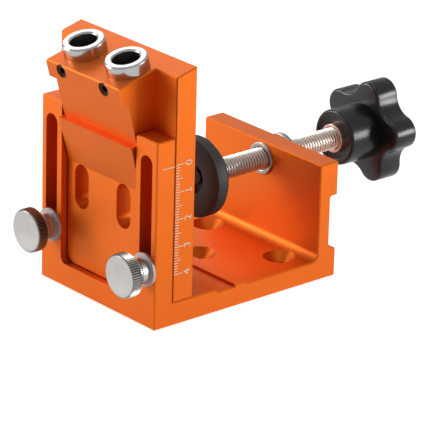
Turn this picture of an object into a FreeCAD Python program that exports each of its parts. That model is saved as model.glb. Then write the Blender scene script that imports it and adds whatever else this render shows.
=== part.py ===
"""Pocket hole jig: a machined aluminium body with a sliding drill guide and a screw clamp.

The board to be drilled stands on the floor of the body, between the tall guide block in front
and the rubber pad behind. The guide block slides up and down on the front wall, is set by the
scale on its side and is held by two thumb screws. Its two bushings guide the drill at a slope.

Units are millimetres. X runs across the width, +Y from the front wall to the knob, +Z up.
The origin is the centre of the body's underside.
"""

import FreeCAD, Part

import os
from math import cos, pi, radians, sin, sqrt, tan

Vector = FreeCAD.Vector

# Body: one piece with a front wall, a floor and a rear wall
base_width = 63.0
base_length = 83.5
front_wall = 8.0
front_wall_height = 68.5
rear_wall = 8.4
rear_wall_height = 43.5
seat_height = 8.4
seat_run = 20.4
floor_height = 7.3
rib_gap = 8.1
rib_run = 5.1
rib_height = 8.2
wall_foot_radius = 3.0
edge_chamfer = 0.4
window_width = 40.8
window_sill = 8.6
window_corner_radius = 2.5
groove_top = 30.8
groove_depth = 3.2
groove_height = 19.1
groove_ledge_slope = 22.0
groove_corner_radius = 1.0

# Countersunk holes in the floor, for screws into a bench
bench_hole_diameter = 5.5
bench_sink_diameter = 11.8
bench_hole_side_margin = 11.8
bench_hole_rear_margin = 7.9
bench_hole_row_gap = 20.1

# Guide block: a plate behind the front wall, with a boss through its window
plate_thickness = 9.0
plate_height = 84.1
drill_slope = 15.0
boss_reach = 5.3
boss_side_gap = 0.6
boss_sill_gap = 0.35
boss_corner_radius = 3.0
head_reach = 24.8
head_height = 6.6
neck_depth = 2.5
ledge_depth = 23.2
drill_passage = 10.0
lift_travel = 38.0

# Drill bushings and the screws that hold them
bushing_spacing = 23.0
bushing_inset = 13.85
bushing_bore = 9.6
bushing_head_diameter = 15.2
bushing_head_height = 4.75
bushing_body_diameter = 12.7
bushing_body_length = 14.0
set_screw_diameter = 5.0
set_screw_depth = 2.55
set_screw_recess = 0.5
set_screw_socket = 2.5
set_screw_socket_depth = 2.0
set_screw_offset = 0.5

# Chip slots through the guide block, below the bushings
chip_slot_width = 7.7
chip_slot_height = 16.3
chip_slot_bottom = 22.2
chip_slot_offset = 0.8

# Thumb screws in the slots of the front wall
thumb_screw_diameter = 6.0
thumb_screw_height = 21.2
thumb_screw_tip_inset = 1.0
thumb_slot_width = 6.3
thumb_head_diameter = 15.8
thumb_head_length = 4.3
thumb_collar_diameter = 9.6
thumb_collar_length = 4.9
thumb_shoulder_diameter = 7.2
thumb_shoulder_length = 1.1
washer_diameter = 12.0
washer_thickness = 0.85

# Screw clamp through the rear wall
clamp_height = 37.0
clamp_opening = 25.3
spindle_diameter = 8.0
spindle_nose_diameter = 6.0
pad_diameter = 29.2
pad_thickness = 6.9
pad_recess_diameter = 11.8
pad_recess_depth = 3.0
pad_rear_chamfer = 2.5
ring_diameter = 9.6
ring_thickness = 0.8
ring_groove_depth = 0.6
ring_mouth = 3.2
nose_overhang = 0.8
bush_diameter = 12.0
bush_ring_length = 0.9
bush_flange_diameter = 14.4
bush_flange_length = 2.0

# Star knob on the end of the spindle
knob_gap = 24.5
hub_diameter = 21.3
hub_length = 13.0
star_diameter = 38.8
star_waist_diameter = 28.6
star_lobe_radius = 6.0
star_lobes = 5
star_first_lobe = 7.0
star_thickness = 10.3
insert_diameter = 10.6
insert_length = 15.0
insert_stand_out = 1.2

# Clearances
slide_clearance = 0.05
running_clearance = 0.05
fit_clearance = 0.02

# Places that follow from the sizes above
half_width = base_width / 2
front_y = -base_length / 2
rear_y = base_length / 2
wall_back_y = front_y + front_wall
rear_wall_y = rear_y - rear_wall
plate_front_y = wall_back_y + slide_clearance
fence_y = plate_front_y + plate_thickness
plate_bottom = seat_height + slide_clearance
plate_top = plate_bottom + plate_height
boss_y = plate_front_y - boss_reach
boss_bottom = window_sill + boss_sill_gap
boss_width = window_width - 2 * boss_side_gap
slope = radians(drill_slope)
rail_centre_x = (window_width / 2 + half_width) / 2
thumb_screw_z = thumb_screw_height
pad_face_y = fence_y + clamp_opening
pad_rear_y = pad_face_y + pad_thickness
hub_y = rear_y + bush_flange_length + knob_gap
star_y = hub_y + hub_length

# Directions on the sloping head: along the drill, and forward over the head's top face
down_drill = Vector(0, sin(slope), -cos(slope))
forward_over_top = Vector(0, -cos(slope), -sin(slope))
rear_top_corner = Vector(0, fence_y, plate_top)


def box(x_range, y_range, z_range):
    """Block between two corners."""
    low = Vector(x_range[0], y_range[0], z_range[0])
    size = [span[1] - span[0] for span in (x_range, y_range, z_range)]
    return Part.makeBox(*size, low)


def cylinder(diameter, start, end):
    """Round bar from one point to another."""
    axis = end - start
    return Part.makeCylinder(diameter / 2, axis.Length, start, axis)


def prism_along_x(points, width):
    """Outline in the YZ plane, as wide as told and centred on the middle of the jig."""
    outline = [Vector(-width / 2, y, z) for y, z in points]
    outline.append(outline[0])
    return Part.Face(Part.makePolygon(outline)).extrude(Vector(width, 0, 0))


def turned(profile, start, direction):
    """Solid of revolution: the profile is (distance along the axis, radius)."""
    outline = [Vector(radius, 0, along) for along, radius in profile]
    outline.append(outline[0])
    solid = Part.Face(Part.makePolygon(outline)).revolve(Vector(), Vector(0, 0, 1), 360)
    solid.Placement = FreeCAD.Placement(start, FreeCAD.Rotation(Vector(0, 0, 1), direction))
    return solid


def slot_cutter(x, z_low, z_high, width, y_range):
    """Upright slot with round ends, cut through along Y."""
    radius = width / 2
    low = Vector(x, y_range[0], z_low + radius)
    high = Vector(x, y_range[0], z_high - radius)
    side = Vector(radius, 0, 0)
    up = Vector(0, 0, radius)
    wire = Part.Wire([
        Part.Arc(low + side, low - up, low - side).toShape(),
        Part.LineSegment(low - side, high - side).toShape(),
        Part.Arc(high - side, high + up, high + side).toShape(),
        Part.LineSegment(high + side, low + side).toShape(),
    ])
    return Part.Face(wire).extrude(Vector(0, y_range[1] - y_range[0], 0))


def near(value, target):
    return abs(value - target) < 1e-4


def edges_in(shape, *places):
    """Edges that lie in one of the places; a place is a test that all their ends pass."""
    chosen = []
    for edge in shape.Edges:
        ends = [vertex.Point for vertex in edge.Vertexes]
        if any(all(place(point) for point in ends) for place in places):
            chosen.append(edge)
    return chosen


def left_end(point):
    return near(point.x, -half_width)


def right_end(point):
    return near(point.x, half_width)


def thumb_slot_ends():
    """Lowest and highest point of the slots, from the screw's travel."""
    slack = thumb_slot_width - thumb_screw_diameter
    reach = thumb_slot_width / 2 + slack
    return thumb_screw_z - reach, thumb_screw_z + lift_travel + reach


def bench_hole_places():
    """Centres of the screw holes: two beside the rear wall, one in front of them."""
    row_y = rear_wall_y - bench_hole_rear_margin
    side_x = half_width - bench_hole_side_margin
    return [(-side_x, row_y), (side_x, row_y), (0, row_y - bench_hole_row_gap)]


def bench_hole_cutter(x, y):
    """Through hole with a right-angled countersink in the floor."""
    sink_depth = (bench_sink_diameter - bench_hole_diameter) / 2
    sink_start = floor_height - sink_depth
    hole = cylinder(bench_hole_diameter, Vector(x, y, -1), Vector(x, y, floor_height + 1))
    sink = Part.makeCone(
        bench_hole_diameter / 2, bench_sink_diameter / 2 + 1, sink_depth + 1,
        Vector(x, y, sink_start),
    )
    return hole.fuse(sink)


def window_cutter():
    """Window in the front wall, open at the top, with round lower corners."""
    side = window_width / 2
    radius = window_corner_radius
    turn = radius * (1 - sqrt(0.5))
    top = front_wall_height + 1
    start_y = front_y - 1

    def point(x, z):
        return Vector(x, start_y, z)

    wire = Part.Wire([
        Part.LineSegment(point(-side, top), point(-side, window_sill + radius)).toShape(),
        Part.Arc(
            point(-side, window_sill + radius),
            point(-side + turn, window_sill + turn),
            point(-side + radius, window_sill),
        ).toShape(),
        Part.LineSegment(point(-side + radius, window_sill), point(side - radius, window_sill)).toShape(),
        Part.Arc(
            point(side - radius, window_sill),
            point(side - turn, window_sill + turn),
            point(side, window_sill + radius),
        ).toShape(),
        Part.LineSegment(point(side, window_sill + radius), point(side, top)).toShape(),
        Part.LineSegment(point(side, top), point(-side, top)).toShape(),
    ])
    return Part.Face(wire).extrude(Vector(0, front_wall + 2, 0))


def base_frame():
    """Aluminium body: the side outline is drawn once and cut from the solid."""
    seat_end_y = wall_back_y + seat_run
    rib_start_y = seat_end_y + rib_gap
    rib_end_y = rib_start_y + rib_run
    groove_y = rear_y - groove_depth
    groove_foot = groove_top - groove_height
    groove_lip = groove_foot - groove_depth * tan(radians(groove_ledge_slope))
    body = prism_along_x([
        (front_y, 0),
        (rear_y, 0),
        (rear_y, groove_lip),
        (groove_y, groove_foot),
        (groove_y, groove_top),
        (rear_y, groove_top),
        (rear_y, rear_wall_height),
        (rear_wall_y, rear_wall_height),
        (rear_wall_y, floor_height),
        (rib_end_y, floor_height),
        (rib_end_y, rib_height),
        (rib_start_y, rib_height),
        (rib_start_y, floor_height),
        (seat_end_y, floor_height),
        (seat_end_y, seat_height),
        (wall_back_y, seat_height),
        (wall_back_y, front_wall_height),
        (front_y, front_wall_height),
    ], base_width)

    def wall_foot(point):
        return near(point.y, rear_wall_y) and near(point.z, floor_height)

    def groove_corner(point):
        return near(point.y, groove_y) and near(point.z, groove_top)

    def underside(point):
        return near(point.z, 0)

    def front_wall_top(point):
        return near(point.z, front_wall_height)

    def rear_wall_top(point):
        return near(point.z, rear_wall_height)

    body = body.makeFillet(wall_foot_radius, edges_in(body, wall_foot))
    body = body.makeFillet(groove_corner_radius, edges_in(body, groove_corner))
    eased = edges_in(body, left_end, right_end, underside, front_wall_top, rear_wall_top)
    body = body.makeChamfer(edge_chamfer, eased)
    body = body.cut(window_cutter())

    low, high = thumb_slot_ends()
    for x in (-rail_centre_x, rail_centre_x):
        body = body.cut(slot_cutter(x, low, high, thumb_slot_width, (front_y - 1, wall_back_y + 1)))
    for x, y in bench_hole_places():
        body = body.cut(bench_hole_cutter(x, y))
    bush_seat = bush_diameter + 2 * fit_clearance
    bush_start = Vector(0, rear_wall_y - 1, clamp_height)
    bush_end = Vector(0, rear_y + 1, clamp_height)
    return body.cut(cylinder(bush_seat, bush_start, bush_end))


def top_plane_point(distance_from_fence):
    """Point in the middle of the head's sloping top face."""
    return rear_top_corner + forward_over_top * (distance_from_fence / cos(slope))


def guide_block_outline():
    """Side outline of the boss, wedge, neck and head, up to the front of the plate."""
    head_front = top_plane_point(head_reach)
    into_head = forward_over_top * -neck_depth
    head_foot = head_front + down_drill * head_height
    ledge_front = head_front + down_drill * ledge_depth
    wedge_foot = head_front + down_drill * ((boss_y - head_front.y) / sin(slope))
    top_at_plate = top_plane_point(plate_thickness)
    corners = [
        Vector(0, plate_front_y, boss_bottom),
        Vector(0, boss_y, boss_bottom),
        wedge_foot,
        ledge_front,
        ledge_front + into_head,
        head_foot + into_head,
        head_foot,
        head_front,
        top_at_plate,
    ]
    return [(corner.y, corner.z) for corner in corners]


def bushing_seat(x):
    """Where a bushing's axis meets the head's top face."""
    seat = top_plane_point(bushing_inset)
    return Vector(x, seat.y, seat.z)


def bushing_places():
    return {"left": -bushing_spacing / 2, "right": bushing_spacing / 2}


def set_screw_ends(x):
    """Ends of a set screw: just below the head's front face, and on the bushing's body."""
    seat = bushing_seat(x - set_screw_offset)
    on_axis = seat + down_drill * set_screw_depth
    face_distance = (head_reach - bushing_inset) / cos(slope)
    outer = on_axis + forward_over_top * (face_distance - set_screw_recess)
    inner = on_axis + forward_over_top * (bushing_body_diameter / 2 + fit_clearance)
    return outer, inner


def guide_block():
    """Sliding block: plate, boss, wedge, neck and head in one machined piece."""
    top_at_plate = top_plane_point(plate_thickness)
    plate = prism_along_x([
        (plate_front_y, plate_bottom),
        (fence_y, plate_bottom),
        (fence_y, plate_top),
        (plate_front_y, top_at_plate.z),
    ], base_width)

    nose = prism_along_x(guide_block_outline(), boss_width)

    def boss_corner_left(point):
        return near(point.x, -boss_width / 2) and near(point.z, boss_bottom)

    def boss_corner_right(point):
        return near(point.x, boss_width / 2) and near(point.z, boss_bottom)

    def top_face(point):
        return near((point - rear_top_corner).dot(down_drill), 0)

    boss_corners = edges_in(nose, boss_corner_left, boss_corner_right)
    nose = nose.makeFillet(boss_corner_radius, boss_corners)
    block = plate.fuse(nose).removeSplitter()
    block = block.makeChamfer(edge_chamfer, edges_in(block, left_end, right_end, top_face))

    drill_run = plate_height / cos(slope)
    for x in bushing_places().values():
        seat = bushing_seat(x)
        above = seat - down_drill
        body_seat = bushing_body_diameter + 2 * fit_clearance
        body_end = seat + down_drill * (bushing_body_length + fit_clearance)
        block = block.cut(cylinder(body_seat, above, body_end))
        block = block.cut(cylinder(drill_passage, seat, seat + down_drill * drill_run))
        outer, inner = set_screw_ends(x)
        hole = set_screw_diameter + 2 * fit_clearance
        block = block.cut(cylinder(hole, outer + forward_over_top * 2, inner - forward_over_top * 2))
        chip_low = plate_bottom + chip_slot_bottom
        block = block.cut(slot_cutter(
            x - chip_slot_offset, chip_low, chip_low + chip_slot_height, chip_slot_width,
            (boss_y - boss_reach, fence_y + 1),
        ))
    for x in (-rail_centre_x, rail_centre_x):
        start = Vector(x, plate_front_y - 1, thumb_screw_z)
        end = Vector(x, fence_y + 1, thumb_screw_z)
        block = block.cut(cylinder(thumb_screw_diameter + 2 * running_clearance, start, end))
    return block


def drill_bushing(x):
    """Hardened steel bushing with a head that stands on the block's top face."""
    bore = bushing_bore / 2
    head = bushing_head_diameter / 2
    body = bushing_body_diameter / 2
    top = bushing_head_height
    bottom = -bushing_body_length
    profile = [
        (bottom, bore),
        (bottom, body),
        (fit_clearance, body),
        (fit_clearance, head),
        (top, head),
        (top, bore),
    ]
    return turned(profile, bushing_seat(x), down_drill * -1)


def bushing_set_screw(x):
    """Headless screw with a hexagon socket."""
    outer, inner = set_screw_ends(x)
    length = (outer - inner).Length
    radius = set_screw_diameter / 2
    profile = [
        (0, 0),
        (0, radius),
        (length, radius),
        (length, 0),
    ]
    screw = turned(profile, inner, forward_over_top)
    corner = set_screw_socket / 2 / cos(pi / 6)
    outline = [
        Vector(corner * cos(k * pi / 3), corner * sin(k * pi / 3), length - set_screw_socket_depth)
        for k in range(7)
    ]
    socket = Part.Face(Part.makePolygon(outline)).extrude(Vector(0, 0, set_screw_socket_depth + 1))
    socket.Placement = FreeCAD.Placement(
        inner, FreeCAD.Rotation(Vector(0, 0, 1), forward_over_top),
    )
    return screw.cut(socket)


def washer_face_y():
    """Front face of the nylon washers."""
    return front_y - slide_clearance - washer_thickness


def thumb_screw(x):
    """Knurled thumb screw with a grooved collar; its thread ends inside the plate."""
    head = thumb_head_diameter / 2
    collar = thumb_collar_diameter / 2
    shoulder = thumb_shoulder_diameter / 2
    shank = thumb_screw_diameter / 2
    bearing_y = washer_face_y() - fit_clearance
    collar_end = thumb_head_length + thumb_collar_length
    shoulder_end = collar_end + thumb_shoulder_length
    face_y = bearing_y - shoulder_end
    tip = fence_y - thumb_screw_tip_inset - face_y
    profile = [
        (0, 0),
        (0, head),
        (thumb_head_length, head),
        (thumb_head_length, collar),
        (collar_end, collar),
        (collar_end, shoulder),
        (shoulder_end, shoulder),
        (shoulder_end, shank),
        (tip, shank),
        (tip, 0),
    ]
    return turned(profile, Vector(x, face_y, thumb_screw_z), Vector(0, 1, 0))


def thumb_washer(x):
    """Nylon washer between a thumb screw and the front wall."""
    front = Vector(x, washer_face_y(), thumb_screw_z)
    rear = Vector(x, front_y - slide_clearance, thumb_screw_z)
    bore = thumb_screw_diameter + 2 * running_clearance
    past = Vector(0, 1, 0)
    return cylinder(washer_diameter, front, rear).cut(cylinder(bore, front - past, rear + past))


def clamp_bush():
    """Threaded steel bush in the rear wall: a ring inside, a round flange outside."""
    outer = bush_diameter / 2
    flange = bush_flange_diameter / 2
    bore = spindle_diameter / 2 + running_clearance
    flange_start = bush_ring_length + rear_wall + fit_clearance
    end = flange_start + bush_flange_length
    profile = [
        (0, bore),
        (0, outer),
        (flange_start, outer),
        (flange_start, flange),
        (end, flange),
        (end, bore),
    ]
    start = Vector(0, rear_wall_y - bush_ring_length, clamp_height)
    return turned(profile, start, Vector(0, 1, 0))


def nose_groove_y():
    """Front side of the groove that holds the pad's retaining ring."""
    return pad_face_y + pad_recess_depth - running_clearance - ring_thickness


def clamp_spindle():
    """Threaded rod with a turned-down nose that carries the pad."""
    rod = spindle_diameter / 2
    nose = spindle_nose_diameter / 2
    tip_y = nose_groove_y() - nose_overhang
    groove = nose_groove_y() - tip_y
    shoulder = pad_rear_y + running_clearance - tip_y
    end = insert_y() + insert_length - tip_y
    profile = [
        (0, 0),
        (0, nose),
        (groove, nose),
        (groove, nose - ring_groove_depth),
        (groove + ring_thickness, nose - ring_groove_depth),
        (groove + ring_thickness, nose),
        (shoulder, nose),
        (shoulder, rod),
        (end, rod),
        (end, 0),
    ]
    return turned(profile, Vector(0, tip_y, clamp_height), Vector(0, 1, 0))


def clamp_pad():
    """Rubber pad that turns on the spindle's nose, with a recess in its face."""
    outer = pad_diameter / 2
    bore = spindle_nose_diameter / 2 + running_clearance
    profile = [
        (0, pad_recess_diameter / 2),
        (0, outer),
        (pad_thickness - pad_rear_chamfer, outer),
        (pad_thickness, outer - pad_rear_chamfer),
        (pad_thickness, bore),
        (pad_recess_depth, bore),
        (pad_recess_depth, pad_recess_diameter / 2),
    ]
    return turned(profile, Vector(0, pad_face_y, clamp_height), Vector(0, 1, 0))


def pad_retaining_ring():
    """Open spring ring in the spindle's groove, which keeps the pad on."""
    start = Vector(0, nose_groove_y(), clamp_height)
    end = start + Vector(0, ring_thickness, 0)
    inner = spindle_nose_diameter - 2 * ring_groove_depth + 2 * fit_clearance
    past = Vector(0, 1, 0)
    ring = cylinder(ring_diameter, start, end)
    ring = ring.cut(cylinder(inner, start - past, end + past))
    mouth = box(
        (-ring_mouth / 2, ring_mouth / 2),
        (start.y - 1, end.y + 1),
        (clamp_height - ring_diameter, clamp_height),
    )
    return ring.cut(mouth)


def star_outline(y):
    """Closed outline of the star: round lobes joined by round hollows, all tangent."""
    lobe_centre = star_diameter / 2 - star_lobe_radius
    waist = star_waist_diameter / 2
    half_step = pi / star_lobes
    gap = lobe_centre ** 2 + waist ** 2 - 2 * lobe_centre * waist * cos(half_step)
    hollow = (gap - star_lobe_radius ** 2) / (
        2 * (star_lobe_radius - waist + lobe_centre * cos(half_step))
    )
    hollow_centre = waist + hollow

    def at(radius, angle):
        return Vector(radius * cos(angle), y, clamp_height + radius * sin(angle))

    edges = []
    for lobe in range(star_lobes):
        middle = radians(star_first_lobe) + 2 * half_step * lobe
        centre = at(lobe_centre, middle)
        before = at(hollow_centre, middle - half_step)
        after = at(hollow_centre, middle + half_step)
        share = star_lobe_radius / (star_lobe_radius + hollow)
        start = centre + (before - centre) * share
        end = centre + (after - centre) * share
        next_centre = at(lobe_centre, middle + 2 * half_step)
        next_start = next_centre + (after - next_centre) * share
        edges.append(Part.Arc(start, at(star_diameter / 2, middle), end).toShape())
        edges.append(Part.Arc(end, at(waist, middle + half_step), next_start).toShape())
    return Part.Wire(edges)


def star_knob():
    """Moulded knob: five lobes on a round hub."""
    star = Part.Face(star_outline(star_y)).extrude(Vector(0, star_thickness, 0))
    hub_start = Vector(0, hub_y, clamp_height)
    hub_end = Vector(0, star_y + star_thickness / 2, clamp_height)
    knob = star.fuse(cylinder(hub_diameter, hub_start, hub_end)).removeSplitter()
    seat_start = Vector(0, hub_y - 1, clamp_height)
    seat_end = Vector(0, insert_y() + insert_length + fit_clearance, clamp_height)
    return knob.cut(cylinder(insert_diameter + 2 * fit_clearance, seat_start, seat_end))


def insert_y():
    """Front face of the insert, which stands a little out of the hub."""
    return hub_y - insert_stand_out


def knob_insert():
    """Threaded metal insert moulded into the hub."""
    outer = insert_diameter / 2
    bore = spindle_diameter / 2 + fit_clearance
    profile = [
        (0, bore),
        (0, outer),
        (insert_length, outer),
        (insert_length, bore),
    ]
    return turned(profile, Vector(0, insert_y(), clamp_height), Vector(0, 1, 0))


def all_pieces():
    """Every piece by name."""
    pieces = {"base_frame": base_frame(), "guide_block": guide_block()}
    for side, x in bushing_places().items():
        pieces["drill_bushing_" + side] = drill_bushing(x)
        pieces["bushing_set_screw_" + side] = bushing_set_screw(x)
    for side, x in (("left", -rail_centre_x), ("right", rail_centre_x)):
        pieces["thumb_screw_" + side] = thumb_screw(x)
        pieces["thumb_washer_" + side] = thumb_washer(x)
    pieces["clamp_bush"] = clamp_bush()
    pieces["clamp_spindle"] = clamp_spindle()
    pieces["clamp_pad"] = clamp_pad()
    pieces["pad_retaining_ring"] = pad_retaining_ring()
    pieces["star_knob"] = star_knob()
    pieces["knob_insert"] = knob_insert()
    return pieces


os.makedirs("parts", exist_ok=True)
for name, shape in all_pieces().items():
    shape.exportStep("parts/" + name + ".step")
    print(name, "valid" if shape.isValid() else "not valid", round(shape.Volume, 1))
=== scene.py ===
import math

import bpy
from mathutils import Matrix, Vector


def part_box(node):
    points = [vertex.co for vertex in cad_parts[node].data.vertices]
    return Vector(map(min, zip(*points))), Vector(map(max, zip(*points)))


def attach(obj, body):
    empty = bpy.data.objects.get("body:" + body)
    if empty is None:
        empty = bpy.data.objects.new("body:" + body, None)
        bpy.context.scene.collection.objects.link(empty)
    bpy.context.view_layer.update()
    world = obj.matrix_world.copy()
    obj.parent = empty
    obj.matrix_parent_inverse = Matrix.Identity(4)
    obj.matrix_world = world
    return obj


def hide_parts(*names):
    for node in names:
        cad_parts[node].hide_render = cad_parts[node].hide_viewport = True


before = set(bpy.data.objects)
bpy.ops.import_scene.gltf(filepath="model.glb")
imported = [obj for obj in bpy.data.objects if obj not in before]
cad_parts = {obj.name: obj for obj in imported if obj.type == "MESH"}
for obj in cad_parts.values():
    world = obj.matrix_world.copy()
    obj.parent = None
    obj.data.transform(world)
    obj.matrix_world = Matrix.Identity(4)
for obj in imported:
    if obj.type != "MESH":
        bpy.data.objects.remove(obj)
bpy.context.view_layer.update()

# The camera looks down on the jig's right front corner through a long lens, so that the clamp
# screw runs away to the right. Its place was worked out from the corners of the body.
camera_azimuth = math.radians(49.013)
camera_elevation = math.radians(21.596)
camera_roll = math.radians(1.516)
camera_target = Vector((0.01343, 0.00025, 0.02714))
camera_distance = 1.21725
towards_camera = Vector((
    math.sin(camera_azimuth) * math.cos(camera_elevation),
    -math.cos(camera_azimuth) * math.cos(camera_elevation),
    math.sin(camera_elevation),
))
level_right = Vector((math.cos(camera_azimuth), math.sin(camera_azimuth), 0))
level_up = towards_camera.cross(level_right)
view_right = level_right * math.cos(camera_roll) + level_up * math.sin(camera_roll)
view_up = level_up * math.cos(camera_roll) - level_right * math.sin(camera_roll)
camera_data = bpy.data.cameras.new("long_lens")
camera_data.sensor_width = 36
camera_data.lens = 290.78
camera = bpy.data.objects.new("camera", camera_data)
bpy.context.scene.collection.objects.link(camera)
camera.matrix_world = Matrix((view_right, view_up, towards_camera)).transposed().to_4x4()
camera.location = camera_target + towards_camera * camera_distance
bpy.context.scene.camera = camera
bpy.context.scene.view_settings.view_transform = "Standard"

# A pale studio: a white table under the jig and a white room round it. The table keeps the
# jig's soft shadow, and both look white to the camera and in the bright metal.
bpy.ops.object.select_all(action="DESELECT")
bpy.ops.mesh.primitive_plane_add(size=8, location=(0, 0, -0.0003))
table_top = bpy.context.object
table_top.name = "table_top"
table_paint = bpy.data.materials.new("table_paint")
table_paint.use_nodes = True
table_nodes = table_paint.node_tree.nodes
table_links = table_paint.node_tree.links
table_nodes.clear()
table_output = table_nodes.new("ShaderNodeOutputMaterial")
table_sum = table_nodes.new("ShaderNodeAddShader")
table_matte = table_nodes.new("ShaderNodeBsdfDiffuse")
table_matte.inputs["Color"].default_value = (0.80, 0.80, 0.80, 1)
table_glow = table_nodes.new("ShaderNodeEmission")
table_glow.inputs["Color"].default_value = (1, 1, 1, 1)
table_rays = table_nodes.new("ShaderNodeLightPath")
glossy_or_through = table_nodes.new("ShaderNodeMath")
glossy_or_through.operation = "MAXIMUM"
mirrored_glow = table_nodes.new("ShaderNodeMath")
mirrored_glow.operation = "MULTIPLY"
mirrored_glow.inputs[1].default_value = 0.58
glow_strength = table_nodes.new("ShaderNodeMath")
glow_strength.operation = "MULTIPLY_ADD"
glow_strength.inputs[1].default_value = 0.80
table_links.new(table_rays.outputs["Is Glossy Ray"], glossy_or_through.inputs[0])
table_links.new(table_rays.outputs["Is Transmission Ray"], glossy_or_through.inputs[1])
table_links.new(glossy_or_through.outputs[0], mirrored_glow.inputs[0])
table_links.new(table_rays.outputs["Is Camera Ray"], glow_strength.inputs[0])
table_links.new(mirrored_glow.outputs[0], glow_strength.inputs[2])
table_links.new(glow_strength.outputs[0], table_glow.inputs["Strength"])
table_links.new(table_matte.outputs[0], table_sum.inputs[0])
table_links.new(table_glow.outputs[0], table_sum.inputs[1])
table_links.new(table_sum.outputs[0], table_output.inputs["Surface"])
table_top.data.materials.append(table_paint)

studio = bpy.data.worlds.new("studio")
studio.use_nodes = True
bpy.context.scene.world = studio
studio_nodes = studio.node_tree.nodes
studio_links = studio.node_tree.links
room_light = studio_nodes["Background"]
room_light.inputs["Color"].default_value = (1, 1, 1, 1)
room_rays = studio_nodes.new("ShaderNodeLightPath")
room_mirrored = studio_nodes.new("ShaderNodeMath")
room_mirrored.operation = "MAXIMUM"
room_white = studio_nodes.new("ShaderNodeMath")
room_white.operation = "MAXIMUM"
room_strength = studio_nodes.new("ShaderNodeMapRange")
room_strength.inputs["To Min"].default_value = 0.03
room_strength.inputs["To Max"].default_value = 0.55
studio_links.new(room_rays.outputs["Is Glossy Ray"], room_mirrored.inputs[0])
studio_links.new(room_rays.outputs["Is Transmission Ray"], room_mirrored.inputs[1])
studio_links.new(room_mirrored.outputs[0], room_strength.inputs["Value"])
studio_links.new(room_strength.outputs[0], room_white.inputs[0])
studio_links.new(room_rays.outputs["Is Camera Ray"], room_white.inputs[1])
studio_links.new(room_white.outputs[0], room_light.inputs["Strength"])


lamp_aim = Vector((0, 0, 0.03))


def soft_box(name, place, width, power):
    """A square studio lamp that points at the middle of the jig."""
    lamp_data = bpy.data.lights.new(name, "AREA")
    lamp_data.shape = "SQUARE"
    lamp_data.size = width
    lamp_data.energy = power
    lamp = bpy.data.objects.new(name, lamp_data)
    bpy.context.scene.collection.objects.link(lamp)
    lamp.location = place
    lamp.rotation_euler = (lamp_aim - Vector(place)).to_track_quat("-Z", "Y").to_euler()


soft_box("left_lamp", (-0.9, -0.7, 0.25), 0.5, 5.0)
soft_box("front_lamp", (-0.75, -0.9, 0.12), 0.5, 3.8)
soft_box("edge_lamp", (-0.9, -0.47, 0.78), 0.35, 1.6)
soft_box("right_lamp", (0.85, 0.8, 0.12), 0.5, 11.3)
soft_box("top_lamp", (0, 0.1, 1.2), 0.7, 2.6)
soft_box("rear_lamp", (-0.88, 0.47, 0.78), 0.5, 1.7)

# The body and the guide block are machined from extruded aluminium, blasted to a fine even
# grain and anodised orange. Sharp edges are eased by a narrow chamfer.


def new_finish(name):
    """A material with its shader, and the Object coordinates that its grain follows."""
    finish = bpy.data.materials.new(name)
    finish.use_nodes = True
    shader = finish.node_tree.nodes["Principled BSDF"]
    place = finish.node_tree.nodes.new("ShaderNodeTexCoord").outputs["Object"]
    return finish, shader, place


grain_group = bpy.data.node_groups.new("fine_grain", "ShaderNodeTree")
grain_group.interface.new_socket("Place", in_out="INPUT", socket_type="NodeSocketVector")
grain_group.interface.new_socket("Grain Scale", in_out="INPUT", socket_type="NodeSocketFloat")
grain_group.interface.new_socket("Cloud Scale", in_out="INPUT", socket_type="NodeSocketFloat")
grain_group.interface.new_socket("Grain", in_out="OUTPUT", socket_type="NodeSocketFloat")
grain_group.interface.new_socket("Cloud", in_out="OUTPUT", socket_type="NodeSocketFloat")
grain_in = grain_group.nodes.new("NodeGroupInput")
grain_out = grain_group.nodes.new("NodeGroupOutput")
small_noise = grain_group.nodes.new("ShaderNodeTexNoise")
small_noise.inputs["Detail"].default_value = 3
large_noise = grain_group.nodes.new("ShaderNodeTexNoise")
large_noise.inputs["Detail"].default_value = 2
grain_group.links.new(grain_in.outputs["Place"], small_noise.inputs["Vector"])
grain_group.links.new(grain_in.outputs["Grain Scale"], small_noise.inputs["Scale"])
grain_group.links.new(grain_in.outputs["Place"], large_noise.inputs["Vector"])
grain_group.links.new(grain_in.outputs["Cloud Scale"], large_noise.inputs["Scale"])
grain_group.links.new(small_noise.outputs["Fac"], grain_out.inputs["Grain"])
grain_group.links.new(large_noise.outputs["Fac"], grain_out.inputs["Cloud"])


def add_grain(finish, shader, place, grain_scale, cloud_scale, colours, roughness, height):
    """Clouds between two colours, which it returns, and grain in the roughness and the bump."""
    nodes = finish.node_tree.nodes
    links = finish.node_tree.links
    grain = nodes.new("ShaderNodeGroup")
    grain.node_tree = grain_group
    grain.inputs["Grain Scale"].default_value = grain_scale
    grain.inputs["Cloud Scale"].default_value = cloud_scale
    links.new(place, grain.inputs["Place"])
    colour = nodes.new("ShaderNodeMix")
    colour.data_type = "RGBA"
    colour.inputs["A"].default_value = (*colours[0], 1)
    colour.inputs["B"].default_value = (*colours[1], 1)
    links.new(grain.outputs["Cloud"], colour.inputs["Factor"])
    links.new(colour.outputs["Result"], shader.inputs["Base Color"])
    gloss = nodes.new("ShaderNodeMapRange")
    gloss.inputs["To Min"].default_value = roughness[0]
    gloss.inputs["To Max"].default_value = roughness[1]
    links.new(grain.outputs["Grain"], gloss.inputs["Value"])
    links.new(gloss.outputs["Result"], shader.inputs["Roughness"])
    bump = nodes.new("ShaderNodeBump")
    bump.inputs["Strength"].default_value = 0.5
    bump.inputs["Distance"].default_value = height
    links.new(grain.outputs["Grain"], bump.inputs["Height"])
    links.new(bump.outputs["Normal"], shader.inputs["Normal"])
    return colour


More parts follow.
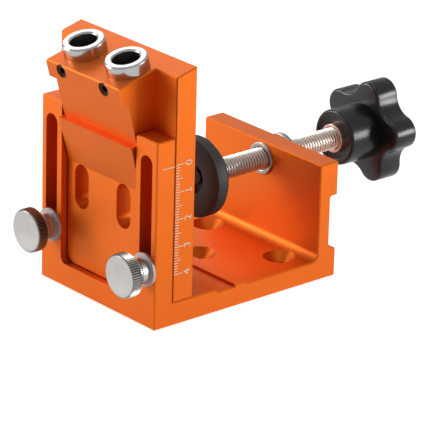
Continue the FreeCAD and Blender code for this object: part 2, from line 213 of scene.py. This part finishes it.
def orange_anodised(name):
    """Orange anodising, with its shader, its coordinates and its clouds."""
    finish, shader, place = new_finish(name)
    shader.inputs["Metallic"].default_value = 0.77
    clouds = add_grain(
        finish, shader, place, 5000, 70,
        ((0.70, 0.132, 0.004), (0.77, 0.148, 0.006)), (0.42, 0.52), 0.00002,
    )
    return finish, shader, place, clouds


body_orange = orange_anodised("body_orange")[0]
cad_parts["base_frame"].material_slots[0].material = body_orange

# Painted shade: the shadow in the seam between the guide's plate and the rail is painted on the plate's
# side edges as a thin dark line down its front and along its foot.
guide_orange, guide_shader, guide_place, guide_clouds = orange_anodised("guide_orange")
plate_low, plate_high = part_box("guide_block")
plate_thickness = 0.009
plate_front = plate_high.y - plate_thickness
seam_width = 0.0004
guide_nodes = guide_orange.node_tree.nodes
guide_links = guide_orange.node_tree.links
guide_axes = guide_nodes.new("ShaderNodeSeparateXYZ")
guide_links.new(guide_place, guide_axes.inputs[0])
either_side = guide_nodes.new("ShaderNodeMath")
either_side.operation = "ABSOLUTE"
guide_links.new(guide_axes.outputs["X"], either_side.inputs[0])


def seam_band(source, dark_at, clear_at):
    """A mask that falls from one to nothing between two places."""
    band = guide_nodes.new("ShaderNodeMapRange")
    band.inputs["From Min"].default_value = clear_at
    band.inputs["From Max"].default_value = dark_at
    guide_links.new(source, band.inputs["Value"])
    return band.outputs["Result"]


front_seam = seam_band(guide_axes.outputs["Y"], plate_front + seam_width / 2, plate_front + seam_width)
foot_seam = seam_band(guide_axes.outputs["Z"], plate_low.z + seam_width / 2, plate_low.z + seam_width)
side_skin = seam_band(
    either_side.outputs[0], plate_high.x - seam_width / 2, plate_high.x - seam_width,
)
seam_line = guide_nodes.new("ShaderNodeMath")
seam_line.operation = "MAXIMUM"
seam_shade_mask = guide_nodes.new("ShaderNodeMath")
seam_shade_mask.operation = "MULTIPLY"
# Painted shade: the seam's shadow, a dark red-brown mixed over the clouds.
painted_seam_shade = guide_nodes.new("ShaderNodeMix")
painted_seam_shade.data_type = "RGBA"
painted_seam_shade.inputs["B"].default_value = (0.09, 0.012, 0.002, 1)
guide_links.new(front_seam, seam_line.inputs[0])
guide_links.new(foot_seam, seam_line.inputs[1])
guide_links.new(seam_line.outputs[0], seam_shade_mask.inputs[0])
guide_links.new(side_skin, seam_shade_mask.inputs[1])
guide_links.new(seam_shade_mask.outputs[0], painted_seam_shade.inputs["Factor"])
guide_links.new(guide_clouds.outputs["Result"], painted_seam_shade.inputs["A"])
guide_links.new(painted_seam_shade.outputs["Result"], guide_shader.inputs["Base Color"])
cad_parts["guide_block"].material_slots[0].material = guide_orange

# The drill bushings are hardened steel, turned, ground and polished. Each is pressed into the
# sloping head, so that its wider rim stands on the block's top face.
polished, polished_shader, polished_place = new_finish("polished_steel")
polished_shader.inputs["Metallic"].default_value = 1.0
add_grain(
    polished, polished_shader, polished_place, 4000, 200,
    ((0.46, 0.45, 0.44), (0.54, 0.53, 0.52)), (0.16, 0.26), 0.000004,
)


def turned(name, profile, segments, start, direction, rim, hollow):
    """A piece turned on a lathe: its profile is (distance along the axis, radius)."""
    bpy.ops.object.select_all(action="DESELECT")
    along, radius = profile[0]
    bpy.ops.mesh.primitive_circle_add(vertices=segments, radius=radius, location=(0, 0, along))
    piece = bpy.context.object
    piece.name = name
    bpy.ops.object.transform_apply(location=True, rotation=True, scale=True)
    bpy.ops.object.mode_set(mode="EDIT")
    bpy.ops.mesh.select_mode(type="VERT")
    bpy.ops.mesh.select_all(action="SELECT")
    for next_along, next_radius in profile[1:]:
        bpy.ops.mesh.extrude_edges_move(TRANSFORM_OT_translate={"value": (0, 0, next_along - along)})
        share = next_radius / radius
        bpy.ops.transform.resize(value=(share, share, 1), center_override=(0, 0, 0))
        along = next_along
        radius = next_radius
    bpy.ops.mesh.select_all(action="DESELECT")
    bpy.ops.mesh.select_non_manifold()
    if hollow:
        bpy.ops.mesh.bridge_edge_loops()
    else:
        bpy.ops.mesh.fill_holes(sides=0)
    bpy.ops.mesh.select_all(action="SELECT")
    bpy.ops.mesh.normals_make_consistent(inside=False)
    bpy.ops.mesh.select_all(action="DESELECT")
    bpy.ops.object.mode_set(mode="OBJECT")
    turn = Vector((0, 0, 1)).rotation_difference(Vector(direction)).to_matrix().to_4x4()
    piece.matrix_world = Matrix.Translation(start) @ turn
    bpy.ops.object.transform_apply(location=True, rotation=True, scale=True)
    if rim:
        eased = piece.modifiers.new("eased", "BEVEL")
        eased.width = rim
        eased.segments = 3
        eased.limit_method = "ANGLE"
        eased.angle_limit = math.radians(40)
        bpy.ops.object.modifier_apply(modifier="eased")
    bpy.ops.object.shade_smooth_by_angle(angle=math.radians(35))
    return piece


drill_slope = math.radians(15)
down_drill = Vector((0, math.sin(drill_slope), -math.cos(drill_slope)))
bushing_inset = 0.01385
bushing_seat_y = plate_high.y - bushing_inset
bushing_seat_z = plate_high.z - bushing_inset * math.tan(drill_slope)
bushing_bore = 0.0048
bushing_rim = 0.0076
bushing_body = 0.00635
bushing_depth = 0.014
bushing_top = 0.00475
bushing_chamfer = 0.0005
above_seat = 0.00002
for name, bushing_x in (("drill_bushing_left", -0.0115), ("drill_bushing_right", 0.0115)):
    bushing = turned(
        name + "_polished",
        [
            (-bushing_depth, bushing_bore),
            (-bushing_depth, bushing_body),
            (above_seat, bushing_body),
            (above_seat, bushing_rim),
            (bushing_top - bushing_chamfer, bushing_rim),
            (bushing_top, bushing_rim - bushing_chamfer),
            (bushing_top, bushing_bore + bushing_chamfer),
            (bushing_top - bushing_chamfer, bushing_bore),
        ],
        96, (bushing_x, bushing_seat_y, bushing_seat_z), -down_drill, 0.00012, True,
    )
    bushing.data.materials.append(polished)
    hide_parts(name)
    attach(bushing, "guide")

# Each bushing is held by a headless screw with a hexagon socket, blackened by an oxide bath.
# The spring ring on the clamp screw's nose has the same finish, as painted shade for the pad's dark
# recess.
black_oxide_and_recess_shade, black_oxide_shader, black_oxide_place = new_finish("black_oxide_and_recess_shade")
black_oxide_shader.inputs["Metallic"].default_value = 0.6
add_grain(
    black_oxide_and_recess_shade, black_oxide_shader, black_oxide_place, 3000, 300,
    ((0.012, 0.010, 0.010), (0.030, 0.027, 0.026)), (0.35, 0.5), 0.00001,
)
# Painted shade: the spring ring is black to stand for the shade in the pad's recess.
for name in ("bushing_set_screw_left", "bushing_set_screw_right", "pad_retaining_ring"):
    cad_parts[name].material_slots[0].material = black_oxide_and_recess_shade

# The scale is printed in cream ink on the right edge of the guide plate: forty millimetres
# downwards, longer marks at each five and ten, and a number beside each ten.
ink, ink_shader, ink_place = new_finish("cream_ink")
add_grain(
    ink, ink_shader, ink_place, 2500, 400,
    ((0.92, 0.80, 0.62), (0.98, 0.90, 0.75)), (0.45, 0.6), 0.00001,
)
scale_side = plate_high.x
scale_edge = plate_front
scale_zero = 0.0588
scale_millimetres = 40
mark_inset = 0.0004
mark_width = 0.00030
long_marks = {0: 0.0037, 5: 0.0028}
short_mark = 0.0017
ink_height = 0.00003
bpy.ops.object.select_all(action="DESELECT")
marks = []
for millimetre in range(scale_millimetres + 1):
    length = long_marks.get(millimetre % 10, short_mark)
    bpy.ops.mesh.primitive_cube_add(
        size=1,
        location=(
            scale_side + ink_height / 2,
            scale_edge + mark_inset + length / 2,
            scale_zero - millimetre / 1000,
        ),
        scale=(ink_height, length, mark_width),
    )
    marks.append(bpy.context.object)
for mark in marks:
    mark.select_set(True)
bpy.ops.object.join()
scale_marks = bpy.context.object
scale_marks.name = "scale_marks"
bpy.ops.object.transform_apply(location=True, rotation=True, scale=True)
scale_marks.data.materials.append(ink)
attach(scale_marks, "guide")

number_height = 0.0029
font_digit_share = 0.70
number_foot = scale_edge + 0.0074
foot_of_one = (0.0014, 0.00026)
numbers = []
for centimetre in range(5):
    bpy.ops.object.select_all(action="DESELECT")
    bpy.ops.object.text_add()
    number = bpy.context.object
    number.data.body = str(centimetre)
    number.data.size = number_height / font_digit_share
    number.data.align_x = "CENTER"
    number.data.extrude = ink_height / 2
    bpy.ops.object.convert(target="MESH")
    number = bpy.context.object
    if centimetre == 1:
        bpy.ops.mesh.primitive_cube_add(
            size=1, location=(0, foot_of_one[1] / 2, 0), scale=(*foot_of_one, ink_height),
        )
        number.select_set(True)
        bpy.context.view_layer.objects.active = number
        bpy.ops.object.join()
    place = Matrix.Translation((scale_side + ink_height / 2, number_foot, scale_zero - centimetre / 100))
    number.matrix_world = place @ Matrix(((0, 0, 1, 0), (0, -1, 0, 0), (1, 0, 0, 0), (0, 0, 0, 1)))
    bpy.ops.object.transform_apply(location=True, rotation=True, scale=True)
    numbers.append(number)
for number in numbers:
    number.select_set(True)
bpy.ops.object.join()
scale_numbers = bpy.context.object
scale_numbers.name = "scale_numbers"
scale_numbers.data.materials.append(ink)
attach(scale_numbers, "guide")

# The index mark is printed across the edge of the front wall, level with the scale's zero.
front_wall_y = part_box("base_frame")[0].y
index_place = (scale_side + ink_height / 2, front_wall_y + 0.0053, 0.0585)
index_length = 0.0052
bpy.ops.object.select_all(action="DESELECT")
bpy.ops.mesh.primitive_cube_add(
    size=1, location=index_place, scale=(ink_height, index_length, mark_width),
)
index_mark = bpy.context.object
index_mark.name = "index_mark"
bpy.ops.object.transform_apply(location=True, rotation=True, scale=True)
index_mark.data.materials.append(ink)
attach(index_mark, "body")

# The clamp screw is bright plated steel with a rolled thread, with painted shade in its grooves.
# Its turned-down nose, painted black as shade for the pad's dark recess, carries the rubber pad, and its
# end is screwed into the knob.
screw_steel, screw_steel_shader, screw_steel_place = new_finish("plated_screw_steel")
screw_steel_shader.inputs["Metallic"].default_value = 1.0
screw_colour = add_grain(
    screw_steel, screw_steel_shader, screw_steel_place, 5000, 300,
    ((0.82, 0.77, 0.72), (0.90, 0.85, 0.80)), (0.40, 0.48), 0.000004,
)
spindle_low, spindle_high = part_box("clamp_spindle")
clamp_z = (spindle_low.z + spindle_high.z) / 2
spindle_radius = (spindle_high.z - spindle_low.z) / 2
spindle_pitch = 0.00125
thread_depth_share = 0.6
screw_nodes = screw_steel.node_tree.nodes
screw_links = screw_steel.node_tree.links
# Painted shade: the thread is darkened towards its root by distance from the screw's axis.
from_axis = screw_nodes.new("ShaderNodeMapping")
from_axis.inputs["Location"].default_value = (0, 0, -clamp_z)
from_axis.inputs["Scale"].default_value = (1, 0, 1)
axis_gap = screw_nodes.new("ShaderNodeVectorMath")
axis_gap.operation = "LENGTH"
crest_share = screw_nodes.new("ShaderNodeMapRange")
crest_share.inputs["From Min"].default_value = spindle_radius - thread_depth_share * spindle_pitch
crest_share.inputs["From Max"].default_value = spindle_radius - 0.15 * spindle_pitch
thread_groove_shade = screw_nodes.new("ShaderNodeMix")
thread_groove_shade.data_type = "RGBA"
thread_groove_shade.inputs["A"].default_value = (0.15, 0.10, 0.075, 1)
screw_links.new(screw_steel_place, from_axis.inputs["Vector"])
screw_links.new(from_axis.outputs["Vector"], axis_gap.inputs[0])
screw_links.new(axis_gap.outputs["Value"], crest_share.inputs["Value"])
screw_links.new(crest_share.outputs["Result"], thread_groove_shade.inputs["Factor"])
screw_links.new(screw_colour.outputs["Result"], thread_groove_shade.inputs["B"])
screw_links.new(thread_groove_shade.outputs["Result"], screw_steel_shader.inputs["Base Color"])


def threaded_bar(name, x, z, y_start, y_end, diameter, pitch):
    """A bar along Y with a raised thread, cut square at both ends."""
    crest = diameter / 2
    root = crest - thread_depth_share * pitch
    outline = [(root, 0), (root, 0.22), (crest, 0.56), (crest, 0.68), (root, 1)]
    bpy.ops.object.select_all(action="DESELECT")
    bpy.ops.mesh.primitive_circle_add(vertices=5, radius=diameter / 2)
    bar = bpy.context.object
    bar.name = name
    bpy.ops.object.mode_set(mode="EDIT")
    bpy.ops.mesh.select_mode(type="EDGE")
    bpy.ops.mesh.select_all(action="DESELECT")
    bpy.ops.object.mode_set(mode="OBJECT")
    for edge in bar.data.edges:
        edge.select = set(edge.vertices) == {0, 4}
    for vertex, (radius, share) in zip(bar.data.vertices, outline):
        vertex.co = (radius, 0, share * pitch)
    bpy.ops.object.mode_set(mode="EDIT")
    bpy.ops.mesh.delete(type="EDGE")
    bpy.ops.object.mode_set(mode="OBJECT")
    turns = math.ceil((y_end - y_start) / pitch) + 2
    winding = bar.modifiers.new("winding", "SCREW")
    winding.steps = 40
    winding.render_steps = 40
    winding.screw_offset = pitch
    winding.iterations = turns
    winding.use_smooth_shade = True
    bpy.ops.object.modifier_apply(modifier="winding")
    bpy.ops.object.mode_set(mode="EDIT")
    bpy.ops.mesh.select_all(action="SELECT")
    bpy.ops.mesh.remove_doubles(threshold=0.000002)
    bpy.ops.mesh.normals_make_consistent(inside=False)
    bpy.ops.mesh.select_all(action="SELECT")
    bpy.ops.mesh.bisect(
        plane_co=(0, 0, pitch * 1.5), plane_no=(0, 0, 1), use_fill=True, clear_inner=True,
    )
    bpy.ops.mesh.select_all(action="SELECT")
    bpy.ops.mesh.bisect(
        plane_co=(0, 0, pitch * 1.5 + y_end - y_start), plane_no=(0, 0, 1), use_fill=True,
        clear_outer=True,
    )
    bpy.ops.object.mode_set(mode="OBJECT")
    bar.matrix_world = (
        Matrix.Translation((x, y_start, z))
        @ Matrix.Rotation(math.radians(-90), 4, "X")
        @ Matrix.Translation((0, 0, -pitch * 1.5))
    )
    bpy.ops.object.transform_apply(location=True, rotation=True, scale=True)
    bpy.ops.object.shade_smooth_by_angle(angle=math.radians(25))
    return bar


pad_low, pad_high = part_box("clamp_pad")
thread_start = pad_high.y + 0.00005
spindle_thread = threaded_bar(
    "spindle_thread", 0, clamp_z, thread_start, spindle_high.y, 2 * spindle_radius, spindle_pitch,
)
spindle_thread.data.materials.append(screw_steel)
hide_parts("clamp_spindle")
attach(spindle_thread, "spindle")

ring_low, ring_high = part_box("pad_retaining_ring")
nose_radius = 0.003
nose_chamfer = 0.0003
nose_groove = nose_radius - 0.0006
nose_front = spindle_low.y
spindle_nose = turned(
    "spindle_nose",
    [
        (0, nose_radius - nose_chamfer),
        (nose_chamfer, nose_radius),
        (ring_low.y - nose_front, nose_radius),
        (ring_low.y - nose_front, nose_groove),
        (ring_high.y - nose_front, nose_groove),
        (ring_high.y - nose_front, nose_radius),
        (thread_start - nose_front, nose_radius),
    ],
    64, (0, nose_front, clamp_z), (0, 1, 0), 0, False,
)
# Painted shade: the nose is black to stand for the shade in the pad's recess.
spindle_nose.data.materials.append(black_oxide_and_recess_shade)
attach(spindle_nose, "spindle")

# A threaded steel bush stands in the rear wall: a ring shows inside and a round flange
# outside. It is turned, plated a little darker than the screw, and pressed in from the knob's side.
plated_bush, plated_bush_shader, plated_bush_place = new_finish("plated_bush")
plated_bush_shader.inputs["Metallic"].default_value = 1.0
add_grain(
    plated_bush, plated_bush_shader, plated_bush_place, 4000, 200,
    ((0.34, 0.30, 0.27), (0.42, 0.38, 0.35)), (0.24, 0.34), 0.000004,
)
bush_low, bush_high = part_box("clamp_bush")
wall_rear_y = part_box("base_frame")[1].y
bush_bore = spindle_radius + 0.00005
bush_radius = 0.006
bush_lead_in = 0.0004
bush_flange = (bush_high.z - bush_low.z) / 2
bush_length = bush_high.y - bush_low.y
flange_start = wall_rear_y + above_seat - bush_low.y
bush = turned(
    "clamp_bush_plated",
    [
        (bush_lead_in, bush_bore),
        (0, bush_bore + bush_lead_in),
        (0, bush_radius),
        (flange_start, bush_radius),
        (flange_start, bush_flange),
        (bush_length, bush_flange),
        (bush_length, bush_bore),
    ],
    80, (0, bush_low.y, clamp_z), (0, 1, 0), 0.00025, True,
)
bush.data.materials.append(plated_bush)
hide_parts("clamp_bush")
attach(bush, "body")

# The thumb screws have a plated head with a straight knurl, with painted shade in its grooves and on its
# rim chamfers, then a collar with a narrow groove, and a short plain neck that bears on the nylon
# washer.
bright_plate, bright_plate_shader, bright_plate_place = new_finish("bright_plate")
bright_plate_shader.inputs["Metallic"].default_value = 1.0
plate_colour = add_grain(
    bright_plate, bright_plate_shader, bright_plate_place, 4000, 260,
    ((0.48, 0.47, 0.45), (0.56, 0.55, 0.53)), (0.28, 0.40), 0.000006,
)
plate_nodes = bright_plate.node_tree.nodes
plate_links = bright_plate.node_tree.links
# Painted shade: a point layer darkens the knurl's grooves fully and the head's rim chamfers a little.
painted_knurl_shade = plate_nodes.new("ShaderNodeAttribute")
painted_knurl_shade.attribute_name = "painted_knurl_shade"
knurl_groove_shade = plate_nodes.new("ShaderNodeMix")
knurl_groove_shade.data_type = "RGBA"
knurl_groove_shade.inputs["B"].default_value = (0.05, 0.045, 0.04, 1)
plate_links.new(painted_knurl_shade.outputs["Fac"], knurl_groove_shade.inputs["Factor"])
plate_links.new(plate_colour.outputs["Result"], knurl_groove_shade.inputs["A"])
plate_links.new(knurl_groove_shade.outputs["Result"], bright_plate_shader.inputs["Base Color"])

knurl_ribs = 56
knurl_depth = 0.0006
head_radius = 0.0079
head_length = 0.0043
rim_step = 0.0004
rim_slope = 0.0003
rim_radius = head_radius - rim_step - rim_slope
face_dish_radius = 0.0052
face_dish_depth = 0.00005
collar_radius = 0.0048
collar_chamfer = 0.0003
groove_floor_radius = collar_radius - 0.0004
groove_half_floor = 0.0002
groove_half_mouth = 0.00035
neck_radius = 0.0036
neck_length = 0.0011
shank_radius = 0.003
shank_pitch = 0.001
radius_tolerance = 0.0001
groove_shade_amount = 1
rim_shade_amount = 0.8
for side in ("left", "right"):
    screw_low, screw_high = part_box("thumb_screw_" + side)
    washer_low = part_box("thumb_washer_" + side)[0]
    screw_x = (screw_low.x + screw_high.x) / 2
    screw_z = (screw_low.z + screw_high.z) / 2
    neck_end = washer_low.y - above_seat - screw_low.y
    collar_end = neck_end - neck_length
    groove_middle = (head_length + collar_end) / 2
    thumb_screw = turned(
        "thumb_screw_%s_knurled" % side,
        [
            (face_dish_depth, face_dish_radius),
            (0, face_dish_radius + rim_slope),
            (0, rim_radius),
            (rim_slope, head_radius - rim_step),
            (rim_step, head_radius),
            (head_length - rim_step, head_radius),
            (head_length - rim_slope, head_radius - rim_step),
            (head_length, rim_radius),
            (head_length, collar_radius),
            (groove_middle - groove_half_mouth, collar_radius),
            (groove_middle - groove_half_floor, groove_floor_radius),
            (groove_middle + groove_half_floor, groove_floor_radius),
            (groove_middle + groove_half_mouth, collar_radius),
            (collar_end - collar_chamfer, collar_radius),
            (collar_end, collar_radius - collar_chamfer),
            (collar_end, neck_radius),
            (neck_end, neck_radius),
        ],
        2 * knurl_ribs, (0, 0, 0), (0, 0, 1), 0, False,
    )
    rib_step = math.pi / knurl_ribs
    # The painted shade layer: knurl grooves and rim chamfers.
    knurl_shade_layer = thumb_screw.data.attributes.new("painted_knurl_shade", "FLOAT", "POINT")
    for vertex in thumb_screw.data.vertices:
        below_rim = head_radius - math.hypot(vertex.co.x, vertex.co.y)
        in_groove = round(math.atan2(vertex.co.y, vertex.co.x) / rib_step) % 2 == 1
        vertex.select = below_rim < radius_tolerance and in_groove
        if vertex.select:
            knurl_shade_layer.data[vertex.index].value = groove_shade_amount
        elif abs(below_rim - rim_step) < radius_tolerance:
            knurl_shade_layer.data[vertex.index].value = rim_shade_amount
    bpy.ops.object.mode_set(mode="EDIT")
    rib_share = 1 - knurl_depth / head_radius
    bpy.ops.transform.resize(value=(rib_share, rib_share, 1), center_override=(0, 0, 0))
    bpy.ops.object.mode_set(mode="OBJECT")
    thumb_screw.matrix_world = (
        Matrix.Translation((screw_x, screw_low.y, screw_z)) @ Matrix.Rotation(math.radians(-90), 4, "X")
    )
    bpy.ops.object.transform_apply(location=True, rotation=True, scale=True)
    bpy.ops.object.shade_smooth_by_angle(angle=math.radians(25))
    thumb_screw.data.materials.append(bright_plate)
    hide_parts("thumb_screw_" + side)
    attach(thumb_screw, "thumb_" + side)
    shank = threaded_bar(
        "thumb_thread_" + side, screw_x, screw_z, screw_low.y + neck_end, screw_high.y,
        2 * shank_radius, shank_pitch,
    )
    shank.data.materials.append(bright_plate)
    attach(shank, "thumb_" + side)

# A milky nylon washer under each thumb screw keeps it from marking the body.
nylon, nylon_shader, nylon_place = new_finish("milky_nylon")
nylon_shader.inputs["Subsurface Weight"].default_value = 0.3
nylon_shader.inputs["Subsurface Scale"].default_value = 0.001
add_grain(
    nylon, nylon_shader, nylon_place, 1500, 300,
    ((0.74, 0.67, 0.66), (0.82, 0.76, 0.75)), (0.40, 0.5), 0.00001,
)
for name in ("thumb_washer_left", "thumb_washer_right"):
    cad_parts[name].material_slots[0].material = nylon

# The clamp pad is moulded black rubber with a matt skin. It turns on the screw's nose and a
# It turns on the screw's nose and a spring ring in its recess keeps it on; ring and nose are painted
# black as shade for the recess.
rubber, rubber_shader, rubber_place = new_finish("matt_rubber")
rubber_shader.inputs["Specular IOR Level"].default_value = 0.4
add_grain(
    rubber, rubber_shader, rubber_place, 2500, 150,
    ((0.020, 0.016, 0.016), (0.034, 0.029, 0.029)), (0.5, 0.65), 0.00002,
)
pad_radius = (pad_high.z - pad_low.z) / 2
pad_length = pad_high.y - pad_low.y
pad_shoulder = 0.0025
pad_recess_radius = 0.0059
pad_recess_depth = 0.003
pad_bore = nose_radius + 0.00005
moulded_pad = turned(
    "clamp_pad_moulded",
    [
        (0, pad_recess_radius),
        (0, pad_radius),
        (pad_length - pad_shoulder, pad_radius),
        (pad_length, pad_radius - pad_shoulder),
        (pad_length, pad_bore),
        (pad_recess_depth, pad_bore),
        (pad_recess_depth, pad_recess_radius),
    ],
    112, (0, pad_low.y, clamp_z), (0, 1, 0), 0.0004, True,
)
moulded_pad.data.materials.append(rubber)
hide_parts("clamp_pad")
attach(moulded_pad, "pad")

# The star knob is glossy black plastic with five lobes and a long hub, moulded round a
# turned and coppered metal insert, into which the end of the clamp screw is fixed.
knob_plastic, knob_shader, knob_place = new_finish("black_knob_plastic")
knob_shader.inputs["Specular IOR Level"].default_value = 0.4
add_grain(
    knob_plastic, knob_shader, knob_place, 1800, 120,
    ((0.009, 0.009, 0.010), (0.015, 0.015, 0.016)), (0.21, 0.29), 0.00001,
)
knob_low, knob_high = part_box("star_knob")
star_thickness = 0.0103
star_front = knob_high.y - star_thickness
lobes = 5
lobe_radius = 0.006
lobe_reach = 0.0194
lobe_centre = lobe_reach - lobe_radius
waist = 0.0143
half_step = math.pi / lobes
first_lobe = math.radians(7)
centre_gap = lobe_centre ** 2 + waist ** 2 - 2 * lobe_centre * waist * math.cos(half_step)
hollow_radius = (centre_gap - lobe_radius ** 2) / (
    2 * (lobe_radius - waist + lobe_centre * math.cos(half_step))
)
hollow_centre = waist + hollow_radius
touch_share = lobe_radius / (lobe_radius + hollow_radius)
touch_x = lobe_centre + (hollow_centre * math.cos(half_step) - lobe_centre) * touch_share
touch_y = hollow_centre * math.sin(half_step) * touch_share
touch_angle = math.atan2(touch_y, touch_x)


def star_reach(angle):
    """How far the star's outline lies from its middle at an angle."""
    from_lobe = abs((angle - first_lobe + half_step) % (2 * half_step) - half_step)
    if from_lobe < touch_angle:
        across = lobe_centre * math.sin(from_lobe)
        return lobe_centre * math.cos(from_lobe) + math.sqrt(lobe_radius ** 2 - across ** 2)
    from_hollow = half_step - from_lobe
    across = hollow_centre * math.sin(from_hollow)
    return hollow_centre * math.cos(from_hollow) - math.sqrt(hollow_radius ** 2 - across ** 2)


bpy.ops.object.select_all(action="DESELECT")
bpy.ops.mesh.primitive_circle_add(vertices=200, radius=1, fill_type="NGON")
star = bpy.context.object
star.name = "star_knob_moulded"
for vertex in star.data.vertices:
    vertex.co = vertex.co * star_reach(math.atan2(vertex.co.y, vertex.co.x))
bpy.ops.object.mode_set(mode="EDIT")
bpy.ops.mesh.select_mode(type="FACE")
bpy.ops.mesh.select_all(action="SELECT")
bpy.ops.mesh.extrude_region_move(TRANSFORM_OT_translate={"value": (0, 0, star_thickness)})
bpy.ops.mesh.select_all(action="SELECT")
bpy.ops.mesh.normals_make_consistent(inside=False)
bpy.ops.object.mode_set(mode="OBJECT")
star_rim = star.modifiers.new("star_rim", "BEVEL")
star_rim.width = 0.0010
star_rim.segments = 4
star_rim.limit_method = "ANGLE"
star_rim.angle_limit = math.radians(40)
bpy.ops.object.modifier_apply(modifier="star_rim")
star.matrix_world = (
    Matrix.Translation((0, knob_high.y, clamp_z)) @ Matrix.Rotation(math.radians(90), 4, "X")
)
bpy.ops.object.transform_apply(location=True, rotation=True, scale=True)
insert_low, insert_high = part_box("knob_insert")
insert_radius = (insert_high.z - insert_low.z) / 2
insert_length = insert_high.y - insert_low.y
insert_gap = 0.00002
socket_radius = insert_radius + insert_gap
socket_depth = insert_high.y - knob_low.y
hub_radius = 0.01035
hub_flare = 0.0003
hub_chamfer = 0.0006
hub_dish_radius = 0.0083
hub_dish_slope = 0.0004
hub_end = star_front - knob_low.y + 0.004
hub = turned(
    "hub",
    [
        (hub_chamfer, socket_radius),
        (hub_chamfer, hub_dish_radius),
        (0, hub_dish_radius + hub_dish_slope),
        (0, hub_radius - hub_chamfer),
        (hub_chamfer, hub_radius),
        (hub_end, hub_radius + hub_flare),
        (hub_end, socket_radius),
    ],
    96, (0, knob_low.y, clamp_z), (0, 1, 0), 0.0002, True,
)
socket = turned(
    "socket", [(0, socket_radius), (socket_depth, socket_radius)],
    96, (0, knob_low.y, clamp_z), (0, 1, 0), 0, False,
)
bpy.ops.object.select_all(action="DESELECT")
star.select_set(True)
bpy.context.view_layer.objects.active = star
for tool, way in ((socket, "DIFFERENCE"), (hub, "UNION")):
    joined = star.modifiers.new("joined", "BOOLEAN")
    joined.object = tool
    joined.operation = way
    joined.solver = "EXACT"
    bpy.ops.object.modifier_apply(modifier="joined")
    bpy.data.objects.remove(tool)
bpy.ops.object.shade_smooth_by_angle(angle=math.radians(35))
star.data.materials.clear()
star.data.materials.append(knob_plastic)
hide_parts("star_knob")
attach(star, "spindle")

copper_steel, copper_shader, copper_place = new_finish("coppery_steel")
copper_shader.inputs["Metallic"].default_value = 1.0
add_grain(
    copper_steel, copper_shader, copper_place, 3000, 300,
    ((0.72, 0.50, 0.42), (0.80, 0.60, 0.52)), (0.22, 0.34), 0.000006,
)
insert_bore = spindle_radius + insert_gap
insert_lead_in = 0.0003
knob_bush = turned(
    "knob_insert_turned",
    [
        (insert_lead_in, insert_bore),
        (0, spindle_radius + insert_lead_in),
        (0, insert_radius),
        (insert_length, insert_radius),
        (insert_length, insert_bore),
    ],
    80, (0, insert_low.y, clamp_z), (0, 1, 0), 0.0002, True,
)
knob_bush.data.materials.append(copper_steel)
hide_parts("knob_insert")
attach(knob_bush, "spindle")
